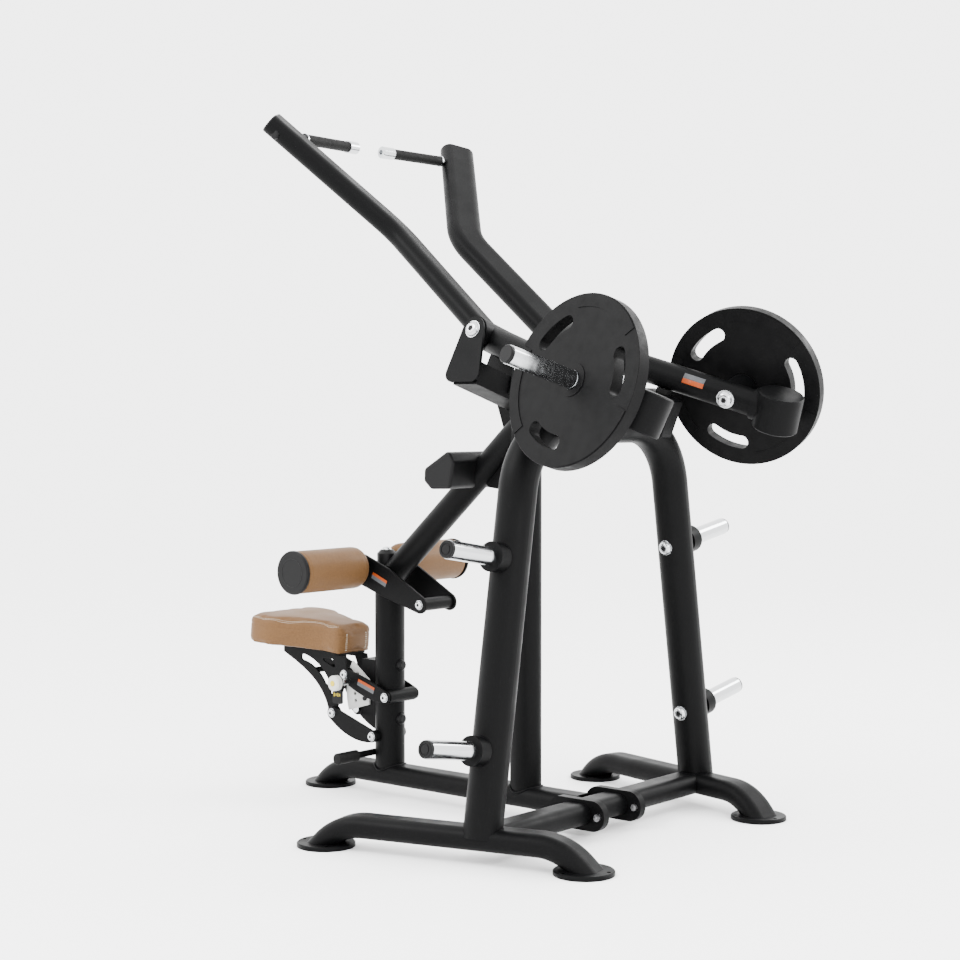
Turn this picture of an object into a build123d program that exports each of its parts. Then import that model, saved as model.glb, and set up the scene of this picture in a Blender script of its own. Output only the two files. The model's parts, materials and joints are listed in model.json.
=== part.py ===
from build123d import *
import os
from math import atan2, cos, degrees, radians, sin

# Plate-loaded lat pulldown machine: two independent lever arms on a welded floor stand.
# Units are millimetres. +Z is up, +Y points from the seat to the rear of the stand, and +X is the user's
# right. The origin is on the floor, on the machine's mid-plane, at the middle of its length. The numbers
# below are laid out from a point on the floor MID_Y in front of that, and save() moves each piece.

# ---- floor stand -----------------------------------------------------------------------------
REAR_FOOT = (418, 675)          # centre of a rear side foot, x and y
FRONT_FOOT = (609, -43)         # centre of a front side foot
CENTRE_FOOT_Y = -623            # centre of the single front foot
MID_Y = 2.41                    # y of the middle of the machine's length in these numbers
FOOT_D, FOOT_T = 158, 12
FOOT_BOLT_R, FOOT_BOLT_PCD = 5.5, 134
BASE_W, BASE_H, BASE_WALL = 100, 60, 4
BASE_Z = 65                     # centre height of the oval base tubes
BASE_DROP = 52                  # where the tube's centreline turns down, before a foot's centre
BASE_BEND = 165
CROSS_Y = 410
FLANGE_X = 86                   # joint face of the bolted cross tube
FLANGE_T, FLANGE_LEN, FLANGE_H = 12, 190, 84
FLANGE_BOLT_Y = 76

# ---- uprights --------------------------------------------------------------------------------
POST_D, POST_WALL = 90, 4
POST_Y, POST_TOP = -370, 690
UPRIGHT_Y = 157
LEG_D = 103
LEG_X0, LEG_LEAN = 510, 0.163   # leg centre x at the floor, and its inward lean per unit of height
ARCH_Z, ARCH_BEND = 1127, 200
DIAGONAL_D = 76
DIAGONAL_FOOT = (-392, 639)     # low point on the diagonal's centreline, y and z
DIAGONAL_SLOPE = 0.905
SPINE_D = 76

# ---- storage horns ---------------------------------------------------------------------------
HORN_ROOTS = (285, 777)         # height where each horn's axis meets the leg's centreline
HORN_R, HORN_TIP = 24.5, 262    # bar radius, and leg centreline to the cap's face
HORN_CAP_T, HORN_CAP_R = 9, 23
HORN_NECK_R, GROOVE_W = 22.5, 3  # turned-down bar inside a collar, and the clip groove's width
COLLAR_R, COLLAR_T = 39.5, 32

# ---- lever arms (right-hand side; the left side is its mirror image) --------------------------
PIVOT = Vector(165.3, 160, 1367.8)
PIVOT_RISE = 16.26              # degrees that the pivot axis climbs outwards
ARM_BEND = Vector(150.7, -198, 1681.7)
ARM_TOP = Vector(407.7, -450, 1991.6)
ARM_BEND_R = 170
ARM_W, ARM_H, ARM_WALL = 108, 58, 4
LEVER_D = 76
CAN_CENTRE = Vector(326, 786, 1165)
CAN_D, CAN_H = 128, 104
HORN_ALONG = 534                # pivot to loading horn, along the lever
HORN_DIR = Vector(0.951, -0.16, 0.264)
PLATE_FACE = 91.6               # lever centreline to the weight plate's inner face
PLATE_D, PLATE_T, PLATE_BORE = 456, 40, 50.6
LOAD_HORN_TIP = 360
HUB_D, HUB_GAP = 80, 67         # hub sleeve, and half the gap between the pivot plates
PIVOT_PLATE_T = 9
BEAM_DROP, BEAM_H, BEAM_W = 123, 64, 84
SHAFT_R, BUSH_R = 15, 21
HANDLE_END = Vector(55.4, -455, 1959)
HANDLE_BACK = 58                # handle's distance below the arm's top, along the arm
GRIP_R, GRIP_LEN = 15.8, 198
HANDLE_CORE_R, HANDLE_CAP_LEN = 12.5, 45
STOP_X, STOP_MID = (198, 252), (455, 1160)       # arm rest block: its x range, and its centre's y and z
STOP_LEN, STOP_H, STOP_TILT = 105, 112, 22
STOP_GAP, STOP_PAD_R = 0.6, 22
PLATE_HUB_R, PLATE_STEP, BAND_IN, BAND_OUT = 44, 2, 192, 225
SLOT_R, SLOT_W, PLATE_TURN = 163, 38, 25         # grip slots: radius, width and first slot's angle

# ---- thigh rollers ---------------------------------------------------------------------------
ROLLER_Y, ROLLER_Z = -423, 695.5
ROLLER_D, ROLLER_IN, ROLLER_OUT = 131, 79, 362
ROLLER_SHAFT_R = 12.5
BRACKET_X, BRACKET_T = 62, 8    # inner face and thickness of a bracket plate
BRACKET_END = (-188, 594.6)
ROLLER_CAP_T = 10
POD_HALF = 140
POD_EDGE = [(-84, 941), (-10, 943), (4, 1020), (-17, 1054), (-108, 1000), (-110, 964)]    # y and z
PEG_SPOT = (-412, 128)          # foot peg, y and z
PEG_R, PEG_GRIP_R, PEG_IN, PEG_OUT = 10, 17, 105, 190

# ---- seat ------------------------------------------------------------------------------------
UPPER_REAR = (-330, 306)        # four-bar pivots, y and z
LOWER_REAR = (-383, 183)
LINK = (-168, 55)               # both links, rear pivot to front pivot
LINK_X, LINK_T = 60, 8
PIN_R = 8                       # every seat pivot pin
CARRIAGE_X, CARRIAGE_T = 46, 6
BOSS_R = 18
LATCH = (-478, 343)             # height pin, y and z
LATCH_R, LATCH_PULL = 5, 10
LATCH_STEPS = (-8, 0, 8, 16, 24)    # link angles, in degrees, that have a hole
INDEX_X, INDEX_T, INDEX_R = 30, 6, 188
SEAT_REAR = (-508, 419)         # underside of the cushion at its narrow end, y and z
SEAT_TILT = 4.8                 # degrees, front edge up
SEAT_LEN, SEAT_FRONT, SEAT_WAIST, SEAT_TAIL, SEAT_T = 352, 162, 72, 78, 80
BASE_PLATE_T = 6

RUN = 0.05                      # radial running clearance of a shaft in its bush
GAP = 1.0                       # side play between a turning part and its neighbour
BOLT_R, BOLT_T = 24, 9          # chrome button heads on the arms and uprights
LINK_BOLT_R, LINK_BOLT_T = 14, 8
CAP_R, CAP_H = 30, 46            # domed cap on the thigh bracket
INDEX_SCREWS = ((-440, 325), (-440, 290))
POST_BOLTS_Z = (398, 235)
NUT_X = 38                      # inner face of the front pivots' nuts
BARREL_LEN = 34
OPEN_PIVOT = 0.6                # radial clearance of the lower front pivot

Z_AXIS = Vector(0, 0, 1)
PIVOT_DIR = Vector(cos(radians(PIVOT_RISE)), 0, sin(radians(PIVOT_RISE)))
LEVER_DIR = (CAN_CENTRE - PIVOT).normalized()
HORN_N = (HORN_DIR - LEVER_DIR * HORN_DIR.dot(LEVER_DIR)).normalized()
CAN_AXIS = HORN_N.cross(LEVER_DIR).normalized()
HORN_ROOT = PIVOT + LEVER_DIR * HORN_ALONG
STOP_DIR = (Z_AXIS - LEVER_DIR * LEVER_DIR.Z).normalized()
UPPER_FRONT = (UPPER_REAR[0] + LINK[0], UPPER_REAR[1] + LINK[1])
LOWER_FRONT = (LOWER_REAR[0] + LINK[0], LOWER_REAR[1] + LINK[1])


# ---- shape helpers ---------------------------------------------------------------------------
def frame(origin, z_dir, x_dir=None):
    """A plane at origin whose normal is z_dir; x_dir is squared up to it."""
    z = Vector(*z_dir).normalized()
    x = Vector(*(x_dir or (Z_AXIS.cross(z) if abs(z.Z) < 0.99 else (1, 0, 0))))
    x = (x - z * x.dot(z)).normalized()
    return Plane(origin=origin, x_dir=x, z_dir=z)


def rod(start, direction, length, radius, bore=0.0):
    """A cylinder, or a tube if it has a bore, from start along direction."""
    place = frame(start, direction)
    body = extrude(place * Circle(radius), amount=length)
    if bore:
        body -= extrude(place * Circle(bore), amount=length)
    return body


def rod_between(a, b, radius, bore=0.0):
    a, b = Vector(*a), Vector(*b)
    return rod(a, b - a, (b - a).length, radius, bore)


def bevel_rod(start, direction, length, radius, edge=2.0, bore=0.0):
    """A rod whose far rim is rounded off by a cone of height edge."""
    body = rod(start, direction, length - edge, radius)
    place = frame(Vector(*start) + Vector(*direction).normalized() * (length - edge), direction)
    body += loft([place * Circle(radius), place.offset(edge) * Circle(radius - edge)])
    if bore:
        body -= rod(start, direction, length, bore)
    return body


def button_bolt(start, direction, radius, height, socket=0.36):
    """A washer, a domed button head and its hexagonal socket, standing on the face at start."""
    place = frame(start, direction)
    washer = extrude(place * Circle(radius), amount=2)
    base = place.offset(2)
    dome = loft([base * Circle(radius * 0.9), base.offset(height * 0.5) * Circle(radius * 0.8),
                 base.offset(height - 2) * Circle(radius * 0.5)])
    head = washer + dome
    return head - extrude(place.offset(height - 4) * RegularPolygon(radius * socket, 6), amount=6)


def mirrored(shape):
    return mirror(shape, about=Plane.YZ)


def yz_plate(outline, x, thickness):
    """An outline drawn in (y, z), as a plate that starts at x and grows outwards."""
    return extrude(Plane.YZ.offset(x) * outline, amount=thickness)


def pair_of(shape):
    """The shape and its mirror image, as two solids of one node."""
    return [shape, mirrored(shape)]


def hull_plate(circles):
    """A flat plate outline round circles given as (u, v, radius)."""
    rings = Sketch() + [Pos(u, v) * Circle(r) for u, v, r in circles]
    return make_hull(rings.edges())


def save(name, *solids):
    """Write one node, moved so that the origin is at mid-length; its solids stay separate pieces."""
    pieces = [Pos(0, -MID_Y, 0) * p for s in solids for p in s.solids()]
    export_step(Compound(children=pieces), f"parts/{name}.step")


# ---- floor stand -----------------------------------------------------------------------------
def base_tube(a, b, turn_a=True, turn_b=True):
    """An oval floor tube between two floor points; a turned end dips onto its foot disc."""
    a, b = Vector(a[0], a[1], 0), Vector(b[0], b[1], 0)
    along = (b - a).normalized()
    dip = 75
    low = BASE_Z - dip

    def point(base, step, z):
        return base + along * step + Z_AXIS * z

    start = [point(a, BASE_DROP - dip, low), point(a, BASE_DROP, BASE_Z)] if turn_a else [point(a, 0, BASE_Z)]
    end = [point(b, -BASE_DROP, BASE_Z), point(b, dip - BASE_DROP, low)] if turn_b else [point(b, 0, BASE_Z)]
    points = start + end
    path = FilletPolyline(*points, radius=BASE_BEND)
    section = frame(path @ 0, path % 0, Z_AXIS.cross(along))
    solid = sweep(section * SlotOverall(BASE_W, BASE_H), path=path)
    inner = SlotOverall(BASE_W - 2 * BASE_WALL, BASE_H - 2 * BASE_WALL)
    below = Pos(0, 0, FOOT_T - 200) * Box(4000, 4000, 400)
    outer = solid - below
    return outer, outer - sweep(section * inner, path=path)


def foot_disc(x, y, angle):
    disc = extrude(Circle(FOOT_D / 2), amount=FOOT_T)
    disc = chamfer(disc.edges().filter_by(GeomType.CIRCLE).sort_by(Axis.Z)[-1], 2.5)
    for turn in (0, 120, 240):
        spot = radians(angle + turn)
        at = Pos(FOOT_BOLT_PCD / 2 * cos(spot), FOOT_BOLT_PCD / 2 * sin(spot))
        disc -= extrude(at * Circle(FOOT_BOLT_R), amount=FOOT_T)
    return Pos(x, y) * disc


def cross_flange(x, direction):
    """One oval joint plate of the cross tube, from its joint face at x."""
    face = Plane(origin=(x, CROSS_Y, BASE_Z - 2), x_dir=(0, 1, 0), z_dir=(direction, 0, 0))
    plate = extrude(face * SlotOverall(FLANGE_LEN, FLANGE_H), amount=FLANGE_T)
    for y in (-FLANGE_BOLT_Y, FLANGE_BOLT_Y):
        plate -= extrude(face * Pos(y, 0) * Circle(6.5), amount=FLANGE_T)
    return plate


def cross_segment(x_from, x_to):
    face = frame((x_from, CROSS_Y, BASE_Z), (1, 0, 0), (0, 1, 0))
    tube = SlotOverall(BASE_W, BASE_H) - SlotOverall(BASE_W - 2 * BASE_WALL, BASE_H - 2 * BASE_WALL)
    return extrude(face * tube, amount=x_to - x_from)


def flange_bolt(x, y):
    """A socket screw through a flange pair, with its washer and nut."""
    shank = rod((x - FLANGE_T - 10, y, BASE_Z - 2), (1, 0, 0), 2 * FLANGE_T + 14, 6)
    head = rod((x + FLANGE_T, y, BASE_Z - 2), (1, 0, 0), 11, 9.5)
    head -= extrude(frame((x + FLANGE_T + 5, y, BASE_Z - 2), (1, 0, 0)) * RegularPolygon(5, 6), amount=8)
    nut = extrude(frame((x - FLANGE_T - 9, y, BASE_Z - 2), (1, 0, 0)) * RegularPolygon(10, 6), amount=9)
    return shank + head + nut


def leg_path():
    foot = Vector(LEG_X0 - LEG_LEAN * BASE_Z, CROSS_Y, BASE_Z)
    corner = Vector(LEG_X0 - LEG_LEAN * ARCH_Z, CROSS_Y, ARCH_Z)
    return FilletPolyline(foot, corner, Vector(0, CROSS_Y, ARCH_Z), radius=ARCH_BEND)


def leg(floor_tubes):
    """A round leg that leans inwards and bends over to meet its partner on the mid-plane."""
    path = leg_path()
    section = frame(path @ 0, path % 0, (0, 1, 0))
    outer = sweep(section * Circle(LEG_D / 2), path=path) - floor_tubes
    hollow = outer - sweep(section * Circle(LEG_D / 2 - POST_WALL), path=path)
    return outer, hollow.solids().sort_by(SortBy.VOLUME)[-1]


LEG_UP = Vector(-LEG_LEAN, 0, 1).normalized()
LEG_OUT = Vector(1, 0, LEG_LEAN).normalized()


def horn_root(z):
    return Vector(LEG_X0 - LEG_LEAN * z, CROSS_Y, z)


def storage_horn(z):
    """Collar, bar, end cap and inner bolt of one storage horn, square to the leg."""
    root = horn_root(z)
    skin = LEG_D / 2
    collar = rod(root + LEG_OUT * (skin - 6), LEG_OUT, COLLAR_T + 6, COLLAR_R, HORN_NECK_R)
    collar -= rod(root - LEG_UP * 80, LEG_UP, 160, skin)
    bar_end = HORN_TIP - HORN_CAP_T
    bar_from = skin + COLLAR_T + 1
    bar = rod(root + LEG_OUT * (skin + 2), LEG_OUT, bar_from - skin - 2, HORN_NECK_R)
    bar += rod(root + LEG_OUT * bar_from, LEG_OUT, bar_end - bar_from, HORN_R)
    cap = bevel_rod(root + LEG_OUT * bar_end, LEG_OUT, HORN_CAP_T, HORN_CAP_R, 2)
    ring = rod(root + LEG_OUT * (HORN_TIP - 2), LEG_OUT, 3, 15)
    cap -= ring - rod(root + LEG_OUT * (HORN_TIP - 3), LEG_OUT, 5, 12.5)
    bolt = button_bolt(root - LEG_OUT * (skin + 1), -LEG_OUT, 21, 10)
    seat = rod(root - LEG_OUT * (skin - 6), -LEG_OUT, 7, 22)
    seat -= rod(root - LEG_UP * 80, LEG_UP, 160, skin)
    return collar, bar, cap, bolt, seat


def diagonal_z(y):
    return DIAGONAL_FOOT[1] + DIAGONAL_SLOPE * (y - DIAGONAL_FOOT[0])


def build_stand():
    side_outer, side = base_tube(FRONT_FOOT, REAR_FOOT)
    centre_outer, centre = base_tube((0, CENTRE_FOOT_Y), (0, CROSS_Y - BASE_W / 2), turn_b=False)
    save("side_base_tube_right", side)
    save("side_base_tube_left", mirrored(side))
    save("centre_base_tube", centre)

    lean = degrees(atan2(REAR_FOOT[1] - FRONT_FOOT[1], REAR_FOOT[0] - FRONT_FOOT[0]))
    discs = [foot_disc(0, CENTRE_FOOT_Y, -90)]
    for spot, angle in ((REAR_FOOT, lean), (FRONT_FOOT, lean + 180)):
        disc = foot_disc(*spot, angle)
        discs += pair_of(disc)
    save("foot_discs", *discs)

    inner = FLANGE_X - FLANGE_T
    middle = cross_segment(-inner, inner) + cross_flange(FLANGE_X, -1) + cross_flange(-FLANGE_X, 1)
    stub = cross_segment(FLANGE_X + FLANGE_T, 600) - side_outer
    stub = stub.solids().sort_by(Axis.X)[0]
    stub += cross_flange(FLANGE_X, 1)
    save("cross_tubes", middle, *pair_of(stub))
    bolts = [flange_bolt(FLANGE_X, CROSS_Y + y) for y in (-FLANGE_BOLT_Y, FLANGE_BOLT_Y)]
    save("flange_bolts", *bolts, *[mirrored(b) for b in bolts])

    leg_outer, leg_right = leg(side_outer + stub)
    save("leg_right", leg_right)
    save("leg_left", mirrored(leg_right))

    sets = [storage_horn(z) for z in HORN_ROOTS]
    for index, name in enumerate(("storage_collars", "storage_horns", "storage_caps")):
        save(name, *[p for s in sets for p in pair_of(s[index])])
    inner_bolts = [p for s in sets for i in (3, 4) for p in pair_of(s[i])]

    return centre_outer, leg_outer, inner_bolts


# ---- uprights and head -----------------------------------------------------------------------
def diagonal(radius):
    """The sloping tube from the front post up to the rear upright."""
    low, high = POST_Y, UPRIGHT_Y
    return rod_between((0, low, diagonal_z(low)), (0, high, diagonal_z(high)), radius)


BEAM_UP = Vector(-PIVOT_DIR.Z, 0, PIVOT_DIR.X)
BEAM_MID = PIVOT - BEAM_UP * BEAM_DROP
PLATE_OUT = HUB_GAP + PIVOT_PLATE_T


def half_beam(width, height):
    """One side of the V-shaped head beam, from the mid-plane out to the outer pivot plate."""
    inner = BEAM_MID.X / PIVOT_DIR.X + 60
    place = frame(BEAM_MID + PIVOT_DIR * HUB_GAP, -PIVOT_DIR, (0, 1, 0))
    bar = extrude(place * Rectangle(width, height), amount=inner + HUB_GAP)
    return bar - Pos(-500, 0, 1200) * Box(1000, 1000, 2000)


def pivot_plates(beam):
    """Two side plates of one arm pivot, square to the pivot axis."""
    outline = hull_plate([(0, 0, 37), (-44, -125, 25), (24, -125, 25)])
    plates = []
    for start in (HUB_GAP, -PLATE_OUT):
        place = Plane(origin=PIVOT + PIVOT_DIR * start, x_dir=(0, 1, 0), z_dir=PIVOT_DIR)
        plate = extrude(place * outline, amount=PIVOT_PLATE_T)
        plates.append(plate - rod(PIVOT - PIVOT_DIR * 100, PIVOT_DIR, 200, SHAFT_R) - beam)
    return plates


def build_uprights(centre_outer, leg_outer):
    """Posts, diagonal, spine, head and arm rests; returns the outer solids of the diagonal and front post."""
    diagonal_outer = diagonal(DIAGONAL_D / 2)
    post_outer = rod((0, POST_Y, BASE_Z), Z_AXIS, POST_TOP - BASE_Z, POST_D / 2) - centre_outer
    shaft_space = rod((-300, ROLLER_Y, ROLLER_Z), (1, 0, 0), 600, ROLLER_SHAFT_R + 1)
    bore = POST_D / 2 - POST_WALL
    post = post_outer - rod((0, POST_Y, 0), Z_AXIS, POST_TOP - 4, bore) - shaft_space
    for (y, z), radius in ((UPPER_REAR, 20), (LOWER_REAR, 18)):
        start = (GAP - LINK_X, y, z)
        post += rod(start, (1, 0, 0), 2 * (LINK_X - GAP), radius)
        post -= rod(start, (1, 0, 0), 2 * LINK_X, PIN_R + RUN)
    save("front_post", post)

    beam_outer = half_beam(BEAM_W, BEAM_H)
    beams = beam_outer + mirrored(beam_outer)
    beam = beam_outer - half_beam(BEAM_W - 10, BEAM_H - 10)
    save("head_beam", beam + mirrored(beam))
    upright_outer = rod((0, UPRIGHT_Y, BASE_Z), Z_AXIS, 1125, POST_D / 2) - centre_outer - beams
    upright = upright_outer - rod((0, UPRIGHT_Y, 0), Z_AXIS, 1300, bore)
    save("upright_post", upright)
    sloping = diagonal_outer - diagonal(DIAGONAL_D / 2 - POST_WALL)
    sloping = sloping - post_outer - upright_outer - beams
    save("diagonal_tube", sloping.solids().sort_by(SortBy.VOLUME)[-1])
    spine = rod((0, UPRIGHT_Y, ARCH_Z), (0, 1, 0), CROSS_Y - UPRIGHT_Y, SPINE_D / 2, SPINE_D / 2 - POST_WALL)
    spine = spine - upright_outer - leg_outer - mirrored(leg_outer) - beams

    web = Polyline((50, 1197), (80, 1111), (60, 1050), (157, 1050), (157, 1197), close=True)
    small = Polyline((-10, 975), (24, 945), (157, 930), (157, 1060), (40, 1020), close=True)
    gussets = [yz_plate(make_face(edge), -5, 10) - diagonal_outer - upright_outer - beams
               for edge in (web, small)]
    save("spine_and_gussets", spine, *gussets)

    plates = [p for plate in pivot_plates(beams) for p in pair_of(plate)]
    save("pivot_plates", *plates)
    shaft = rod(PIVOT - PIVOT_DIR * PLATE_OUT, PIVOT_DIR, 2 * PLATE_OUT, SHAFT_R)
    save("pivot_shafts", *pair_of(shaft))

    save_stops(leg_outer)
    return diagonal_outer, post_outer


def save_stops(leg_outer):
    """A welded block on the arch under each lever, with a rubber disc that the lever rests on."""
    (x_in, x_out), (y, z) = STOP_X, STOP_MID
    tilt = Rot(-STOP_TILT, 0, 0)
    block = Pos((x_in + x_out) / 2, y, z) * tilt * Box(x_out - x_in, STOP_LEN, STOP_H)
    block = chamfer(block.edges(), 3) - leg_outer
    save("arm_stop_blocks", *pair_of(block.solids().sort_by(SortBy.VOLUME)[-1]))
    top = Vector(0, y, z) + Vector(0, sin(radians(STOP_TILT)), cos(radians(STOP_TILT))) * (STOP_H / 2)
    along = (top.Y - PIVOT.Y) / LEVER_DIR.Y
    rest = PIVOT + LEVER_DIR * along
    disc = rod(rest - STOP_DIR * (LEVER_D / 2 + STOP_GAP), -STOP_DIR, 40, STOP_PAD_R) - block
    save("arm_stop_bumpers", *pair_of(disc.solids().sort_by(Axis.Z)[-1]))


def frame_bolts(inner_bolts, thigh_bolts):
    """Chrome button bolts on the pivot shafts, the storage horns and the thigh bracket."""
    heads = []
    for side in (1, -1):
        head = button_bolt(PIVOT + PIVOT_DIR * (side * PLATE_OUT), PIVOT_DIR * side, BOLT_R, BOLT_T + 3)
        heads += pair_of(head)
    save("frame_bolts", *heads, *inner_bolts, *thigh_bolts)


# ---- lever arms ------------------------------------------------------------------------------
def arm_path():
    return FilletPolyline(PIVOT, ARM_BEND, ARM_TOP, radius=ARM_BEND_R)


def save_sides(name, *solids):
    """Write the right-hand node and its mirror image on the left."""
    save(f"{name}_right", *solids)
    save(f"{name}_left", *[mirrored(s) for s in solids])


def build_arm():
    hub_len = HUB_GAP - GAP
    hub_outer = rod(PIVOT - PIVOT_DIR * hub_len, PIVOT_DIR, 2 * hub_len, HUB_D / 2)
    hub = hub_outer - rod(PIVOT - PIVOT_DIR * hub_len, PIVOT_DIR, 2 * hub_len, BUSH_R)
    save_sides("arm_hub", hub)
    bushes = [rod(PIVOT + PIVOT_DIR * (side * hub_len), PIVOT_DIR * -side, 30, BUSH_R, SHAFT_R + RUN)
              for side in (1, -1)]
    save_sides("arm_bushes", *bushes)

    first = (ARM_BEND - PIVOT).normalized()
    last = (ARM_TOP - ARM_BEND).normalized()
    path = arm_path()
    section = frame(path @ 0, path % 0, last)
    outer = sweep(section * SlotOverall(ARM_W, ARM_H), path=path)
    inner = SlotOverall(ARM_W - 2 * ARM_WALL, ARM_H - 2 * ARM_WALL)
    lever_outer = rod(PIVOT, LEVER_DIR, (CAN_CENTRE - PIVOT).length, LEVER_D / 2)
    arm = outer - sweep(section * inner, path=path) - hub_outer

    top = frame(ARM_TOP, last, -first)
    cap = extrude(top * SlotOverall(ARM_W, ARM_H), amount=5)
    cap = chamfer(cap.faces().sort_by(lambda f: (f.center() - ARM_TOP).dot(last))[-1].edges(), 2)
    spot = ARM_TOP - last * HANDLE_BACK
    along = (HANDLE_END - spot).normalized()
    reach = (HANDLE_END - spot).length
    plug = bevel_rod(spot, -along, 62, 14, 3) - outer
    plug = plug.solids().sort_by(Axis.X)[-1]
    end = HORN_ROOT + HORN_N * LOAD_HORN_TIP
    horn_cap = bevel_rod(end - HORN_N * HORN_CAP_T, HORN_N, HORN_CAP_T, HORN_CAP_R, 2)
    save_sides("arm_caps", cap, plug, horn_cap)

    core = rod(spot, along, reach - HANDLE_CAP_LEN, HANDLE_CORE_R) - outer
    save_sides("arm_tube", arm.solids().sort_by(SortBy.VOLUME)[-1], core.solids().sort_by(Axis.X)[0])
    grip_end = HANDLE_END - along * HANDLE_CAP_LEN
    grip = rod(grip_end, -along, GRIP_LEN, GRIP_R, HANDLE_CORE_R)
    save_sides("handle_grip", grip)
    ring = rod(grip_end - along * GRIP_LEN, -along, 5, GRIP_R + 1.5, HANDLE_CORE_R)
    knob = bevel_rod(grip_end, along, HANDLE_CAP_LEN, 18.5, 3)
    knob -= extrude(frame(HANDLE_END - along * 12, along) * RegularPolygon(9, 6), amount=14)

    lever = lever_outer - hub_outer
    can = rod(CAN_CENTRE - CAN_AXIS * (CAN_H / 2), CAN_AXIS, CAN_H, CAN_D / 2)
    can = chamfer(can.edges().filter_by(GeomType.CIRCLE), 3)
    neck_at = CAN_CENTRE - LEVER_DIR * (CAN_D / 2 + 8)
    neck = rod(neck_at, LEVER_DIR, 40, LEVER_D / 2 + 7) - can
    neck = neck.solids().sort_by(SortBy.VOLUME)[-1] - rod(neck_at, LEVER_DIR, 80, LEVER_D / 2)
    tube = lever - rod(PIVOT, LEVER_DIR, 900, LEVER_D / 2 - ARM_WALL) - can

    skin = LEVER_D / 2
    collar = rod(HORN_ROOT, HORN_N, PLATE_FACE - 0.4, COLLAR_R) - rod(PIVOT, LEVER_DIR, 900, skin)
    collar = collar.solids().sort_by(SortBy.VOLUME)[-1] - rod(HORN_ROOT, HORN_N, 200, HORN_NECK_R)
    bar_end = LOAD_HORN_TIP - HORN_CAP_T
    groove = PLATE_FACE + PLATE_T + 1
    bar = rod(HORN_ROOT + HORN_N * skin, HORN_N, bar_end - skin, HORN_NECK_R)
    for start, stop in ((PLATE_FACE + 1, groove), (groove + GROOVE_W, bar_end)):
        bar += rod(HORN_ROOT + HORN_N * start, HORN_N, stop - start, HORN_R)
    save_sides("loading_horn", bar)
    save_sides("rear_lever", tube.solids().sort_by(SortBy.VOLUME)[-1], collar, can, neck)
    seat = rod(HORN_ROOT - HORN_N * (skin - 8), -HORN_N, 10, BOLT_R + 2) - rod(PIVOT, LEVER_DIR, 900, skin)
    seat = seat.solids().sort_by(SortBy.VOLUME)[-1]
    bolt = button_bolt(HORN_ROOT - HORN_N * (skin + 2), -HORN_N, BOLT_R, BOLT_T + 3)
    save_sides("arm_chrome", ring, knob, seat, bolt)


def polar(radius, angle):
    return (radius * cos(radians(angle)), radius * sin(radians(angle)))


def weight_plate():
    """A disc with a bore, three curved grip slots, a raised hub and three raised bands at its rim."""
    radius = PLATE_D / 2
    disc = Cylinder(radius, PLATE_T)
    disc = chamfer(disc.edges().filter_by(GeomType.CIRCLE), 3)
    face = Cylinder(radius, PLATE_STEP) - Cylinder(PLATE_HUB_R, PLATE_STEP)
    band = Circle(BAND_OUT) - Circle(BAND_IN)
    for turn in (0, 120, 240):
        left, right = (PLATE_TURN + turn + 60 + side * 32 for side in (-1, 1))
        wedge = Polyline((0, 0), polar(300, left), polar(300, right), close=True)
        face -= extrude(band & make_face(wedge), amount=PLATE_STEP, both=True)
    for side in (1, -1):
        disc -= Pos(0, 0, side * (PLATE_T - PLATE_STEP) / 2) * face
    for turn in (0, 120, 240):
        middle = PLATE_TURN + turn
        slot = SlotArc(CenterArc((0, 0), SLOT_R, middle - 16, 32), SLOT_W)
        disc -= extrude(slot, amount=PLATE_T, both=True)
    disc -= Cylinder(PLATE_BORE / 2, PLATE_T)
    place = frame(HORN_ROOT + HORN_N * (PLATE_FACE + PLATE_T / 2), HORN_N, LEVER_DIR)
    return place * disc


# ---- thigh rollers ---------------------------------------------------------------------------
def build_rollers():
    axis = Vector(1, 0, 0)

    def spot(x):
        return (x, ROLLER_Y, ROLLER_Z)

    core_r = ROLLER_SHAFT_R + 8
    cap_from = ROLLER_OUT - ROLLER_CAP_T
    core = rod(spot(ROLLER_IN), axis, cap_from - ROLLER_IN, core_r, ROLLER_SHAFT_R + RUN)
    core += rod(spot(ROLLER_IN), axis, 6, ROLLER_D / 2 - 26, ROLLER_SHAFT_R + RUN)
    pad = rod(spot(ROLLER_IN + 6), axis, cap_from - ROLLER_IN - 6, ROLLER_D / 2)
    pad = fillet(pad.edges().filter_by(GeomType.CIRCLE).sort_by(Axis.X)[0], 26)
    pad = fillet(pad.edges().filter_by(GeomType.CIRCLE).sort_by(Axis.X)[-1], 4)
    save_sides("roller_pad", pad - rod(spot(0), axis, 500, core_r))
    cap = rod(spot(cap_from), axis, ROLLER_CAP_T, ROLLER_D / 2 - 1)
    cap = fillet(cap.edges().filter_by(GeomType.CIRCLE).sort_by(Axis.X)[-1], 6)
    save_sides("roller_core", core, cap)
    half = cap_from - 6
    save("roller_shaft", rod(spot(-half), axis, 2 * half, ROLLER_SHAFT_R))


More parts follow.
